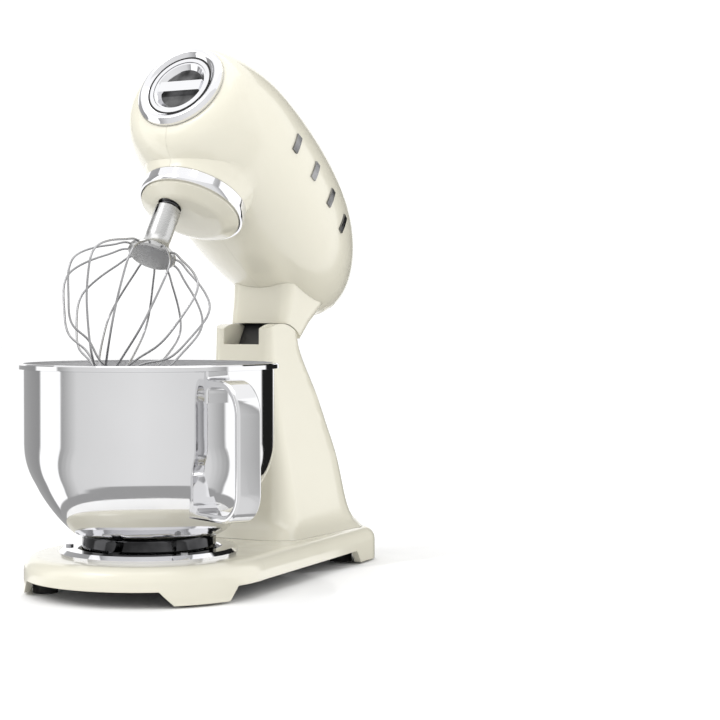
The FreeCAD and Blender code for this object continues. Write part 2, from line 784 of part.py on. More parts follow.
def hub_cap():
    """Pressed chrome cap: a dish with a bar across it and a plug behind."""
    body, _ = spin_body("cap_body", [
        (0, -12),
        ("cap_r - 4", -12),
        ("cap_r - 4", -5),
        ("cap_r", -5),
        ("cap_r", 1),
        ("cap_r - 1.6", 1),
        ("cap_r - 5", -2.5),
        (0, -2.5),
    ])
    bar = solid("Box", "cap_bar", ("-cap_r + 4", -5, -3), Length="2 * cap_r - 8", Width=10, Height=4.2)
    cap = fuse("cap_fused", body, bar)
    cap.Placement = FRONT
    return cap


def drive_band():
    body, _ = spin_body("band_body", [
        ("band_bore", "band_low"),
        ("band_r", "band_low"),
        ("band_r + 0.6", "band_low + 1.5"),
        ("band_r + 0.2", "band_low + band_tall - 1"),
        ("band_r - 0.6", "band_low + band_tall"),
        ("band_bore", "band_low + band_tall"),
    ])
    return body


# Collar sections: height, front, rear, half width, corner
COLLAR = [
    (200, 147, 168, 27.5, 8),
    (214, 138, 174, 29.5, 9),
    (235, 128.5, 181, 30.5, 12),
    (255, 119, 189.5, 32, 13),
    (272, 111, 195, 33, 13),
]


def collar_loft(name, inset):
    wires = []
    for z, front, rear, half, corner in COLLAR:
        wires.append(rounded_wire(z, front + inset, rear - inset, half - inset, corner - inset / 2))
    return made(name, Part.makeLoft(wires, True, True))


def neck_collar(head_cut):
    """Block between head and column, round underneath about the hinge, with a raised rear end."""
    swing = solid("Cylinder", "collar_swing", (-50, "hinge_y", "hinge_z"), X_AXIS,
                  Radius="cheek_r + collar_gap", Height=100)
    tail = box("collar_tail", (-50, 171, 190), (50, 210, 219))
    inner = collar_loft("collar_inner", 4)
    return cut("collar_cut", collar_loft("collar_outer", 0), inner, swing, head_cut, tail)


def neck_liner():
    """Dark plate that closes the collar from below, round the arm's stem."""
    reach = box("liner_box", (-40, 150, 219.4), (40, 210, 222.4))
    plate = common("liner_reach", reach, collar_loft("liner_fit", 4))
    return cut("liner_cut", plate, box("liner_stem_hole", (-17.3, 140, 210), (17.3, 170.4, 230)))


def hinge_arm():
    """Cast arm from the hinge pin up into the head, where a pad is bolted to the shells."""
    boss = solid("Cylinder", "arm_boss", ("-cheek_in + 0.5", "hinge_y", "hinge_z"), X_AXIS, Radius=15,
                 Height="2 * cheek_in - 1")
    stem = box("arm_stem", (-17, 147, 168), (17, 170, 248))
    pad = common("arm_pad", box("pad_block", (-24, 138, 230), (24, 178, 253)),
                 head_loft("pad_fit", -dim["shell_wall"]))
    hole = solid("Cylinder", "arm_hole_pin", (-40, "hinge_y", "hinge_z"), X_AXIS,
                 Radius="pin_r + shaft_fit", Height=80)
    return cut("arm_cut", fuse("arm_all", boss, stem, pad), hole)


def bar_blocks(name):
    """Blocks that mark out four bars on each flank of the head."""
    blocks = []
    for i in range(4):
        for side, x in (("right", 20), ("left", -80)):
            low = (x, 11 + 35 * i, 303.5 - 3 * i)
            blocks.append(solid("Box", "%s_%s_%d" % (name, side, i), low, Length=60, Width=7, Height=16))
    return fuse(name, *blocks)


def side_bars():
    """Four plain chrome bars let into the right flank, and four into the left."""
    skin = cut("bar_skin", head_loft("bar_raised", 1.4), head_loft("bar_bed", -0.6))
    return common("bars_cut", skin, bar_blocks("bars"))


def head_screws():
    """Screws that hold the shells to the arm pad, and two in the liner plate."""
    screws = []
    for i, (x, y) in enumerate([(-11, 143), (11, 143), (-11, 174), (11, 174)]):
        screws.append(solid("Cylinder", "head_screw_%d" % i, (x, y, 253), Radius=2.6, Height=2.2))
    for i, x in enumerate((-21.5, 21.5)):
        screws.append(solid("Cylinder", "liner_screw_%d" % i, (x, 165, 217.8), Radius=2.2, Height=1.6))
    return fuse("head_screw_group", *screws)


def rear_vent_grille():
    """Dark slotted plate behind the vents, following the inside of the shells."""
    skin = cut("grille_skin", head_loft("grille_outer", -dim["shell_wall"]), head_loft("grille_inner", -5))
    window = box("grille_window", (-24, 196, 259), (24, 240, 286))
    slits = []
    for i, x in enumerate(range(-20, 21, 4)):
        slits.append(box("grille_slit_%d" % i, (x, 190, 262), (x + 1.4, 245, 283)))
    return cut("grille_cut", common("grille_plate", skin, window), *slits)


def lever_slot_trim():
    skin = cut("trim_skin", head_loft("trim_outer", 1.2), head_loft("trim_bed", -0.8))
    slot = box("trim_slot", (-3, 84, 350), (3, 126, 400))
    return cut("trim_cut", common("trim_plate", skin, box("trim_box", *TRIM_BOX)), slot)


def speed_lever():
    """Lever on a cross pivot, with a rounded knob above the slot."""
    stem = box("lever_stem", (-2, 100.5, 344), (2, 106.5, 387))
    knob = solid("Ellipsoid", "lever_knob", (0, 103.5, 388), Radius1=4, Radius2=9.5, Radius3=5)
    hub = solid("Cylinder", "lever_hub", (-5, 103.5, 344), X_AXIS, Radius=5, Height=10)
    hole = solid("Cylinder", "lever_bore", (-10, 103.5, 344), X_AXIS, Radius=2.06, Height=20)
    lever = cut("lever_cut", fuse("lever_all", stem, knob, hub), hole)
    lever.Placement = Placement(Vector(), Rotation(Vector(1, 0, 0), dim["lever_off"]), Vector(0, 103.5, 344))
    return lever


def speed_board():
    """Speed control board on the left, with the lever's pivot bracket."""
    plate = box("speed_plate", (-30, 60, 316), (-28.4, 128, 352))
    arm = box("speed_bracket", (-28.4, 98, 338), (-6, 109, 350))
    pivot = solid("Cylinder", "speed_pivot", (-6, 103.5, 344), X_AXIS, Radius=2, Height=12)
    parts = [box("speed_part_%d" % i, (-28.4, 64 + 14 * i, 320), (-20, 74 + 14 * i, 332)) for i in range(4)]
    return fuse("speed_all", plate, arm, pivot, *parts)


# ---------------------------------------------------------------------------
# Drive: motor, worm and wheel, planetary carrier and tool shaft
# ---------------------------------------------------------------------------
WORM_X = dim["wheel_r"] + dim["worm_r"]
WORM_MID = 22
MODULE_WORM = 2 * dim["wheel_r"] / dim["wheel_teeth"]


def gearbox_housing():
    """Housing over the ring gear with a tower for the centre shaft's bearings."""
    body, _ = spin_body("gearbox_body", [
        (36, 250),
        (40.2, 250),
        (40.2, 266),
        (17, 266),
        (17, 289),
        (12, 289),
        (12, 263.5),
        (36, 263.5),
    ])
    return body


def gear_outline(teeth, root, tip, wide, narrow):
    """Outline of straight-sided gear teeth: wide at the root and narrow at the tip, in degrees."""
    points = []
    for i in range(teeth):
        centre = 360 * i / teeth
        for radius, offset in ((root, -wide), (tip, -narrow), (tip, narrow), (root, wide)):
            angle = math.radians(centre + offset / 2)
            points.append(Vector(radius * math.cos(angle), radius * math.sin(angle), 0))
    return Part.makePolygon(points + [points[0]])


def gear_disc(wire, low, height):
    disc = Part.Face(wire).extrude(Vector(0, 0, height))
    disc.translate(Vector(0, 0, low))
    return disc


def ring_gear():
    """Internal gear fixed in the housing."""
    step = 360 / dim["ring_teeth"]
    pitch_r = dim["gear_module"] * dim["ring_teeth"] / 2
    inside = gear_outline(int(dim["ring_teeth"]), pitch_r + 1.2, pitch_r - 0.9, 0.52 * step, 0.28 * step)
    rim = Part.makeCylinder(36, 11.5, Vector(0, 0, 252))
    blank = rim.cut(gear_disc(inside, 251, 14))
    blank.rotate(Vector(), Vector(0, 0, 1), dim["tool_turn"])
    return made("ring_gear_shape", blank)


def tool_pinion():
    """Pinion on the tool shaft, drawn with a tooth space towards the ring gear's tooth."""
    teeth = int(dim["pinion_teeth"])
    step = 360 / teeth
    pitch_r = dim["gear_module"] * teeth / 2
    wire = gear_outline(teeth, pitch_r - 1.2, pitch_r + 0.9, 0.52 * step, 0.28 * step)
    blank = gear_disc(wire, 252.5, 10).cut(Part.makeCylinder(dim["shaft_r"], 20, Vector(0, 0, 250)))
    blank.rotate(Vector(), Vector(0, 0, 1), step / 2)
    return made("pinion_shape", blank)


def shaft_bearings():
    """Two bearings in the tower and two for the motor, as plain rings."""
    rings = []
    for i, z in enumerate((266, 281)):
        outer = solid("Cylinder", "bearing_%d" % i, (0, 0, z), Radius=12, Height=7)
        inner = solid("Cylinder", "bearing_bore_%d" % i, (0, 0, z - 1),
                      Radius="shaft_r + shaft_fit", Height=9)
        rings.append(cut("bearing_cut_%d" % i, outer, inner))
    for i, y in enumerate((31, 163)):
        outer = solid("Cylinder", "motor_bearing_%d" % i, (WORM_X, y, "motor_z"), Y_AXIS, Radius=9, Height=6)
        inner = solid("Cylinder", "motor_bearing_bore_%d" % i, (WORM_X, y - 1, "motor_z"), Y_AXIS,
                      Radius="4 + shaft_fit", Height=8)
        rings.append(cut("motor_bearing_cut_%d" % i, outer, inner))
    return fuse("bearings", *rings)


def centre_shaft():
    return solid("Cylinder", "centre_rod", (0, 0, 241), Radius="shaft_r", Height=70)


def worm_wheel():
    """Wheel with leaning teeth that mesh with the worm at its side."""
    teeth = int(dim["wheel_teeth"])
    z = dim["motor_z"]
    lead = dim["worm_starts"] * math.pi * MODULE_WORM
    lean = math.degrees(math.atan(lead / (2 * math.pi * dim["worm_r"])))
    root = dim["wheel_r"] - 1.6
    rim = Part.makeCylinder(root, 8, Vector(0, 0, z - 4))
    hub = Part.makeCylinder(10, 14, Vector(0, 0, z - 8))
    blocks = []
    for i in range(teeth):
        block = Part.makeBox(2.8, 1.3, 7, Vector(root - 0.4, -0.65, -3.5))
        block.rotate(Vector(), Vector(1, 0, 0), -lean)
        block.translate(Vector(0, 0, z))
        block.rotate(Vector(), Vector(0, 0, 1), 360 * (i + 0.5) / teeth)
        blocks.append(block)
    wheel = rim.fuse([hub] + blocks).cut(Part.makeCylinder(dim["shaft_r"], 60, Vector(0, 0, z - 30)))
    return made("worm_wheel_shape", wheel.removeSplitter())


def armature_shaft():
    """Motor shaft with a two-start worm at its front end."""
    rod = Part.makeCylinder(4, 186, Vector(0, 0, 0))
    core = Part.makeCylinder(6, 34, Vector(0, 0, 5))
    lead = dim["worm_starts"] * math.pi * MODULE_WORM
    threads = []
    for start in range(int(dim["worm_starts"])):
        helix = Part.makeHelix(lead, 30, 6.5)
        tooth = Part.makePolygon([Vector(5.6, 0, -0.8), Vector(8.9, 0, -0.45), Vector(8.9, 0, 0.45),
                                  Vector(5.6, 0, 0.8), Vector(5.6, 0, -0.8)])
        thread = Part.Wire(helix).makePipeShell([tooth], True, True)
        thread.rotate(Vector(), Vector(0, 0, 1), 360 * start / dim["worm_starts"])
        thread.translate(Vector(0, 0, WORM_MID - 3 * lead / 2))
        threads.append(thread)
    shaft = rod.fuse([core] + threads)
    shaft.rotate(Vector(), Vector(1, 0, 0), -90)
    shaft.translate(Vector(WORM_X, -WORM_MID, dim["motor_z"]))
    return made("armature_shaft_shape", shaft)


def motor_ring(name, low, high, bore, outer):
    rod = solid("Cylinder", name + "_rod", (WORM_X, low, "motor_z"), Y_AXIS, Radius=outer, Height=high - low)
    hole = solid("Cylinder", name + "_hole", (WORM_X, low - 1, "motor_z"), Y_AXIS, Radius=bore,
                 Height=high - low + 2)
    return cut(name + "_ring", rod, hole)


def armature_core():
    """Laminated core with winding slots."""
    ring = motor_ring("core", 60, 108, 4, 17)
    slots = []
    for i in range(12):
        angle = math.radians(30 * i)
        slots.append(solid("Cylinder", "core_slot_%d" % i,
                           (WORM_X + 16.2 * math.cos(angle), 59, dim["motor_z"] + 16.2 * math.sin(angle)),
                           Y_AXIS, Radius=1.8, Height=50))
    return cut("core_cut", ring, *slots)


def armature_windings():
    front = motor_ring("winding_front", 50, 60, 4, 14.5)
    rear = motor_ring("winding_rear", 108, 119, 4, 14.5)
    return fuse("windings", front, rear)


def commutator():
    ring = motor_ring("commutator", 124, 138, 4, 9)
    slots = []
    for i in range(12):
        angle = math.radians(30 * i)
        slots.append(solid("Box", "commutator_slot_%d" % i,
                           (WORM_X + 8.2 * math.cos(angle), 123, dim["motor_z"] + 8.2 * math.sin(angle)),
                           Rotation(Vector(0, 1, 0), -30 * i), Length=2, Width=16, Height=0.4))
    return cut("commutator_cut", ring, *slots)


def cooling_fan():
    hub = motor_ring("fan_hub", 142, 158, 4, 8)
    disc = motor_ring("fan_disc", 142, 144, 7, 23)
    blades = [
        solid("Box", "fan_blade_%d" % i, (WORM_X, 143, dim["motor_z"]), Rotation(Vector(0, 1, 0), 36 * i),
              Length=23, Width=13, Height=1.2)
        for i in range(10)
    ]
    core = solid("Cylinder", "fan_core", (WORM_X, 130, "motor_z"), Y_AXIS, Radius=7.5, Height=40)
    return fuse("fan", hub, disc, cut("fan_blades_cut", fuse("fan_blades", *blades), core))


def motor_stator():
    ring = motor_ring("stator", 58, 110, 20, 28)
    flats = []
    for i, x in enumerate((WORM_X - 36, WORM_X + 27)):
        flats.append(box("stator_flat_%d" % i, (x, 50, 270), (x + 10, 120, 330)))
    gaps = []
    for i, z in enumerate((277, 318)):
        gaps.append(box("stator_gap_%d" % i, (WORM_X - 12, 57, z), (WORM_X + 12, 111, z + 5)))
    return cut("stator_cut", ring, *flats, *gaps)


def field_coils():
    coils = []
    for i, z in enumerate((277, 318)):
        coils.append(box("coil_%d" % i, (WORM_X - 12, 52, z), (WORM_X + 12, 116, z + 5)))
    return fuse("coils", *coils)


def motor_brackets():
    """Front and rear end plates, tied to the gearbox housing by a foot."""
    plates = []
    for i, (low, high) in enumerate(((31, 37), (163, 169))):
        plate = box("bracket_%d" % i, (WORM_X - 26, low, 270), (WORM_X + 14, high, 316))
        hole = solid("Cylinder", "bracket_hole_%d" % i, (WORM_X, low - 1, "motor_z"), Y_AXIS,
                     Radius=9, Height=8)
        plates.append(cut("bracket_cut_%d" % i, plate, hole))
    rail = box("bracket_rail", (WORM_X - 20, 31, 268), (WORM_X + 8, 169, 270))
    foot = box("bracket_foot", (WORM_X - 12, 31, 266), (WORM_X - 8, 37, 268))
    return fuse("brackets", rail, foot, *plates)


def brush_holders():
    left = box("brush_left", (WORM_X - 24, 127, 296), (WORM_X - 9.4, 135, 304))
    right = box("brush_right", (WORM_X + 9.4, 127, 296), (WORM_X + 22, 135, 304))
    return fuse("brushes", left, right)


def planet_cover():
    """Domed cover that turns with the carrier, with a hole for the tool shaft."""
    body, _ = spin_body("cover_dome", [
        (0, 226),
        (16, 226.5),
        (30, "band_low - 8"),
        ("band_bore - 1", "band_low - 2"),
        ("band_bore - 1", "band_low + 3"),
        ("band_bore - 3.2", "band_low + 3"),
        ("band_bore - 3.2", "band_low - 0.6"),
        (29, "band_low - 5.4"),
        (15.5, 229),
        (0, 228.5),
    ])
    x, y, _ = tool_place
    hole = solid("Cylinder", "cover_hole", (x, y, 220), Radius=10, Height=20)
    return cut("cover_cut", body, hole)


def planet_carrier():
    """Rotor under the ring gear: centre boss, balance rim and the tool shaft's bearing boss."""
    x, y, _ = tool_place
    plate = solid("Cylinder", "carrier_plate", (0, 0, "band_low + 3"), Radius="band_bore - 1", Height=8)
    boss = solid("Cylinder", "carrier_boss", (0, 0, 247), Radius=9, Height=3)
    post = solid("Cylinder", "carrier_post", (-x * 0.9, -y * 0.9, 232.5), Radius=8, Height=8)
    tool_boss = solid("Cylinder", "carrier_tool_boss", (x, y, 233), Radius=9.2, Height=15)
    shaft_hole = solid("Cylinder", "carrier_bore", (0, 0, 241), Radius="shaft_r", Height=20)
    tool_hole = solid("Cylinder", "carrier_tool_bore", (x, y, 220), Radius="shaft_r + shaft_fit", Height=40)
    return cut("carrier_cut", fuse("carrier_all", plate, boss, post, tool_boss), shaft_hole, tool_hole)


def tool_shaft():
    """Tool shaft, drawn about its own axis, with the cross pin that drives the tool."""
    rod = solid("Cylinder", "tool_rod", (0, 0, 202), Radius="shaft_r", Height=60.5)
    pin = solid("Cylinder", "tool_pin", (-9.5, 0, 214), X_AXIS, Radius=1.5, Height=19)
    collar = solid("Cylinder", "tool_collar", (0, 0, 231.5), Radius=7.5, Height=1.4)
    return fuse("tool_shaft_all", rod, pin, collar)


def tool_spring():
    coil = spring("tool_coil", 6.4, 0.7, 2.2, 6.6)
    coil.Placement = Placement(Vector(0, 0, 224.7), Rotation())
    return coil


def whisk_hub():
    """Brushed steel hub: bore for the shaft, slots for the cross pin, skirt below."""
    body, _ = spin_body("whisk_hub_body", [
        (5.06, "whisk_top"),
        (5.06, 200),
        (0, 200),
        (0, "flange_low + 6"),
        ("whisk_hub_r + 5", "flange_low + 6", ("whisk_hub_r + 1", "flange_low + 11.5")),
        ("whisk_hub_r", "flange_low + 20"),
        ("whisk_hub_r", "whisk_top - 1"),
        ("whisk_hub_r - 1", "whisk_top"),
    ])
    slot = box("hub_slot", (-20, -1.7, 212), (20, 1.7, 230))
    return cut("whisk_hub_cut", body, slot)


def whisk_flange():
    body, _ = spin_body("flange_body", [
        (0, "flange_low"),
        ("flange_r - 1.5", "flange_low"),
        ("flange_r", "flange_low + 1.5"),
        ("flange_r", "flange_low + 4.5"),
        ("flange_r - 1.5", "flange_low + 6"),
        (0, "flange_low + 6"),
    ])
    return body


def whisk_wires():
    """Wire loops, each turned from the last: straight out to a shoulder, then inward to the tip."""
    loops = []
    count = int(dim["whisk_loops"])
    top = dim["flange_low"] + 3
    for i in range(count):
        bottom = dim["cage_low"] + 2.8 * i + dim["wire_r"]
        wide = dim["cage_r"] - dim["wire_r"] - 0.4 * i
        half = [
            (dim["flange_r"], top), (dim["flange_r"] + 4, top - 1),
            (wide * 0.51, top - 6), (wide * 0.7, top - 14.5),
            (wide * 0.89, top - 25), (wide * 0.985, top - 34), (wide, top - 43),
            (wide * 0.955, top - 54), (wide * 0.85, top - 70), (wide * 0.66, top - 89),
            (wide * 0.42, bottom + 14), (wide * 0.19, bottom + 3),
        ]
        points = [Vector(r, 0, z) for r, z in half] + [Vector(0, 0, bottom)]
        points += [Vector(-r, 0, z) for r, z in reversed(half)]
        curve = Part.BSplineCurve()
        curve.interpolate(Points=points)
        start = curve.tangent(curve.FirstParameter)[0]
        ring = Part.Wire(Part.Circle(points[0], start, dim["wire_r"]).toShape())
        wire = Part.Wire(curve.toShape()).makePipeShell([ring], True, False)
        wire.rotate(Vector(), Vector(0, 0, 1), 180 * i / count + 15)
        loops.append(wire)
    return group("wire_loops", loops)


# ---------------------------------------------------------------------------
# Assembly
# ---------------------------------------------------------------------------
node("base_casting", base_casting(), STAND)
node("base_bottom_cover", base_bottom_cover(), STAND)
node("rubber_feet", rubber_feet(), STAND)
node("bottom_screws", bottom_screws(), STAND)
node("bowl_clamp_ring", bowl_clamp_ring(), STAND)
node("clamp_ring_screws", clamp_ring_screws(), STAND)
node("column_casting", column_casting(), STAND)
node("column_bolts", column_bolts(), STAND)
node("hinge_pin", hinge_pin(), STAND)
node("hinge_bushes", hinge_bushes(), STAND)
node("latch_housing", latch_housing(), STAND)
node("cord_gland", cord_gland(), STAND)
node("control_board", control_board(), STAND)
node("release_button", release_button(), STAND)
node("latch_spring", latch_spring(), STAND)

node("bowl_shell", bowl_shell(), STAND)
node("bowl_foot", bowl_foot(), STAND)
node("bowl_handle", bowl_handle(), STAND)

shells = head_solid()
node("head_shell_left", head_half("shell_left", shells, -1), HEAD)
node("head_shell_right", head_half("shell_right", shells, 1), HEAD)
node("neck_collar", neck_collar(head_loft("head_filled", 0)), HEAD)
node("neck_liner", neck_liner(), HEAD)
node("hinge_arm", hinge_arm(), HEAD)
node("head_screws", head_screws(), HEAD)
node("front_bezel", front_bezel(), HEAD)
node("front_gasket", front_ring("gasket", "gasket_bore", "bezel_bore", 2, 0.8), HEAD)
node("hub_ring", front_ring("hub_ring_body", "hub_ring_bore", "gasket_bore", 2, 1.6), HEAD)
node("hub_socket", hub_socket(), HEAD)
node("hub_cap", hub_cap(), HEAD)
node("drive_band", drive_band(), HEAD)
node("side_bars", side_bars(), HEAD)
node("rear_vent_grille", rear_vent_grille(), HEAD)
node("lever_slot_trim", lever_slot_trim(), HEAD)
node("speed_board", speed_board(), HEAD)
node("speed_lever", speed_lever(), HEAD)
node("gearbox_housing", gearbox_housing(), HEAD)
node("ring_gear", ring_gear(), HEAD)
node("shaft_bearings", shaft_bearings(), HEAD)
node("motor_stator", motor_stator(), HEAD)
node("field_coils", field_coils(), HEAD)
node("motor_brackets", motor_brackets(), HEAD)
node("brush_holders", brush_holders(), HEAD)
node("armature_shaft", armature_shaft(), HEAD)
node("armature_core", armature_core(), HEAD)
node("armature_windings", armature_windings(), HEAD)
node("commutator", commutator(), HEAD)
node("cooling_fan", cooling_fan(), HEAD)

node("planet_cover", planet_cover(), HEAD)
node("planet_carrier", planet_carrier(), HEAD)
node("centre_shaft", centre_shaft(), HEAD)
node("worm_wheel", worm_wheel(), HEAD)
node("tool_shaft", tool_shaft(), TOOL)
node("tool_pinion", tool_pinion(), TOOL)
node("tool_spring", tool_spring(), TOOL)
node("whisk_hub", whisk_hub(), TOOL)
node("whisk_flange", whisk_flange(), TOOL)
node("whisk_wires", whisk_wires(), TOOL)

doc.recompute()
problems = []
for obj in doc.Objects:
    if "Invalid" in obj.State or "Error" in obj.State:
        problems.append("%s: %s" % (obj.Name, obj.State))
for obj in nodes:
    shape = obj.Shape
    if shape.isNull() or not shape.isValid() or shape.Volume < 1e-3:
        problems.append("bad shape: " + obj.Label)
if problems:
    raise RuntimeError("\n".join(problems))
overall = FreeCAD.BoundBox()
for obj in nodes:
    overall.add(obj.Shape.optimalBoundingBox(False))
print("overall", overall, "centre", overall.Center)
for obj in nodes:
    obj.Shape.exportStep("parts/%s.step" % obj.Label)
    print("%-20s solids %2d  volume %10.1f" % (obj.Label, len(obj.Shape.Solids), obj.Shape.Volume))
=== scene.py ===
"""Stand mixer with its head tilted back: looks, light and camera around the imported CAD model."""
import json
import math

import bmesh
import bpy
from mathutils import Matrix, Vector


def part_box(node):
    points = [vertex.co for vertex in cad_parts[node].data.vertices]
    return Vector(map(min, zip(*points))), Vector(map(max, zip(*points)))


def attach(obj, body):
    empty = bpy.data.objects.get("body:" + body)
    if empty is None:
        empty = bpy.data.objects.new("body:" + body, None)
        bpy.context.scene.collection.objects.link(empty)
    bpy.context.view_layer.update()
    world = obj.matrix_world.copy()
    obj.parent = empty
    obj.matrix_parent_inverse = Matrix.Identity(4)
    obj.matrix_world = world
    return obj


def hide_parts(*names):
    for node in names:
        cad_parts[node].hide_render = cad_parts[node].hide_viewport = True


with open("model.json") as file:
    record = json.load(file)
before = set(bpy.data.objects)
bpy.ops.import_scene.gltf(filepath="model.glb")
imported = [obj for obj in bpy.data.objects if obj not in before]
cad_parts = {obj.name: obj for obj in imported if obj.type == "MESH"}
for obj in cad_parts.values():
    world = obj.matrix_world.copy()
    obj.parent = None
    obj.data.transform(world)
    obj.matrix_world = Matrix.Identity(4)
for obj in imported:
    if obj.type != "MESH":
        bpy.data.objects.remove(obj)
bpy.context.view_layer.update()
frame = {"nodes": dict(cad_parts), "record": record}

NODES = frame["nodes"]
MM = 0.001
HEAD_TILT = math.radians(32)
CAMERA_PLACE = (0.8194, -1.2835, 0.2215)
CAMERA_TURN = (math.radians(88.6), 0.0, math.radians(28.34))
CAMERA_LENS = 89.49
FORWARD = Vector((-math.sin(CAMERA_TURN[2]), math.cos(CAMERA_TURN[2]), 0.0))
RIGHT = Vector((FORWARD.y, -FORWARD.x, 0.0))
UP = Vector((0.0, 0.0, 1.0))

ring_low, ring_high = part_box("bowl_clamp_ring")
BOWL_AXIS = Vector(((ring_low.x + ring_high.x) / 2, (ring_low.y + ring_high.y) / 2, 0.0))


# Camera ---------------------------------------------------------------------------
camera = bpy.data.objects.new("camera", bpy.data.cameras.new("camera"))
camera.location = CAMERA_PLACE
camera.rotation_euler = CAMERA_TURN
camera.data.lens = CAMERA_LENS
camera.data.sensor_width = 36.0
camera.data.clip_start = 0.05
camera.data.clip_end = 60.0
bpy.context.scene.collection.objects.link(camera)
bpy.context.scene.camera = camera
bpy.context.scene.view_settings.view_transform = "Standard"


# Materials ------------------------------------------------------------------------
NOISE_RANGE = (0.3, 0.7)


class Finish:
    """One procedural material on the Principled shader, with textures in object space."""

    def __init__(self, name, **sockets):
        self.material = bpy.data.materials.new(name)
        self.material.use_nodes = True
        self.tree = self.material.node_tree
        self.shader = self.tree.nodes["Principled BSDF"]
        for socket, value in sockets.items():
            self.shader.inputs[socket.replace("_", " ")].default_value = value
        self.place = self.tree.nodes.new("ShaderNodeTexCoord").outputs["Object"]
        self.normal = None

    def add(self, kind, links=(), **inputs):
        """A shader node with values on its inputs and links into them."""
        node = self.tree.nodes.new("ShaderNode" + kind)
        for socket, value in inputs.items():
            node.inputs[socket.replace("_", " ")].default_value = value
        for source, socket in links:
            self.tree.links.new(source, node.inputs[socket])
        return node

    def noise(self, scale, detail=3.0, stretch=(1, 1, 1), tilt=0.0):
        """Noise with so many cells to the metre, stretched along the tilted axes."""
        turned = self.add("Mapping", [(self.place, "Vector")], Rotation=(tilt, 0, 0))
        mapped = self.add("Mapping", [(turned.outputs[0], "Vector")], Scale=stretch)
        texture = self.add("TexNoise", [(mapped.outputs[0], "Vector")], Scale=scale, Detail=detail)
        return texture.outputs["Fac"]

    def tint(self, source, first, second):
        """Base colour between two tints over the noise's usual range."""
        ramp = self.add("ValToRGB", [(source, "Fac")])
        for stop, position, tint in zip(ramp.color_ramp.elements, NOISE_RANGE, (first, second)):
            stop.position = position
            stop.color = (*tint, 1)
        self.tree.links.new(ramp.outputs[0], self.shader.inputs["Base Color"])

    def rough(self, source, low, high):
        """Roughness between two values over the noise's usual range."""
        ranged = self.add("MapRange", [(source, "Value")])
        for socket, value in enumerate((*NOISE_RANGE, low, high), start=1):
            ranged.inputs[socket].default_value = value
        self.tree.links.new(ranged.outputs[0], self.shader.inputs["Roughness"])

    def bump(self, source, strength, depth):
        """Relief of so many metres on top of any normal that is there."""
        links = [(source, "Height")]
        if self.normal:
            links.append((self.normal, "Normal"))
        bumped = self.add("Bump", links, Strength=strength, Distance=depth)
        self.normal = bumped.outputs[0]
        self.tree.links.new(self.normal, self.shader.inputs["Normal"])

    def soft_edges(self, radius):
        """Round the sharp edges in the shading."""
        self.normal = self.add("Bevel", Radius=radius).outputs[0]
        self.tree.links.new(self.normal, self.shader.inputs["Normal"])


def cream_paint():
    f = Finish("cream_paint", Coat_Weight=0.55, Coat_Roughness=0.04)
    f.soft_edges(0.9 * MM)
    f.tint(f.noise(7.0), (0.665, 0.64, 0.535), (0.69, 0.665, 0.56))
    f.rough(f.noise(60.0), 0.20, 0.27)
    f.bump(f.noise(520.0, 2.0), 0.10, 0.02 * MM)
    return f.material


def polished_steel():
    f = Finish("polished_steel", Metallic=1.0)
    f.tint(f.noise(11.0), (0.76, 0.76, 0.77), (0.80, 0.80, 0.81))
    f.rough(f.noise(90.0, 4.0, (1, 1, 0.15)), 0.045, 0.085)
    f.bump(f.noise(700.0, 3.0, (0.25, 0.25, 3.0)), 0.05, 0.01 * MM)
    return f.material


def chrome():
    f = Finish("chrome", Metallic=1.0)
    f.tint(f.noise(20.0), (0.84, 0.84, 0.86), (0.88, 0.88, 0.90))
    f.rough(f.noise(120.0, 4.0), 0.03, 0.07)
    return f.material


def turned_steel(name, first, second, low, high, tilt=0.0):
    """Steel with fine turning marks round the upright axis, or round one tilted back."""
    f = Finish(name, Metallic=1.0)
    f.tint(f.noise(25.0), first, second)
    lines = f.noise(420.0, 3.0, (0.012, 0.012, 3.0), tilt)
    f.rough(lines, low, high)
    f.bump(lines, 0.07, 0.02 * MM)
    return f.material


def plain_steel(name, dark, light, low, high):
    """Steel with cloudy tarnish and no turning marks; callers also set it dark for painted shade and a
    painted reflection.
    """
    f = Finish(name, Metallic=1.0)
    f.tint(f.noise(60.0), (dark, dark, dark * 1.02), (light, light, light * 1.02))
    f.rough(f.noise(200.0), low, high)
    return f.material


def satin_steel():
    """The bowl's brushed inside."""
    f = Finish("bowl_satin", Metallic=0.65)
    f.tint(f.noise(14.0), (0.60, 0.60, 0.61), (0.68, 0.68, 0.69))
    lines = f.noise(500.0, 3.0, (0.015, 0.015, 2.5))
    f.rough(lines, 0.26, 0.40)
    f.bump(lines, 0.10, 0.02 * MM)
    return f.material


def cast_aluminium():
    f = Finish("cast_aluminium", Metallic=1.0)
    f.tint(f.noise(35.0), (0.52, 0.52, 0.53), (0.62, 0.62, 0.63))
    f.rough(f.noise(160.0), 0.38, 0.55)
    f.bump(f.noise(900.0, 4.0), 0.35, 0.06 * MM)
    return f.material


def grained(name, first, second, low, high, scale, strength, depth, **sockets):
    """A moulded or rubbery surface with a fine grain."""
    f = Finish(name, **sockets)
    f.soft_edges(0.4 * MM)
    f.tint(f.noise(22.0), first, second)
    f.rough(f.noise(80.0), low, high)
    f.bump(f.noise(scale, 3.0), strength, depth)
    return f.material


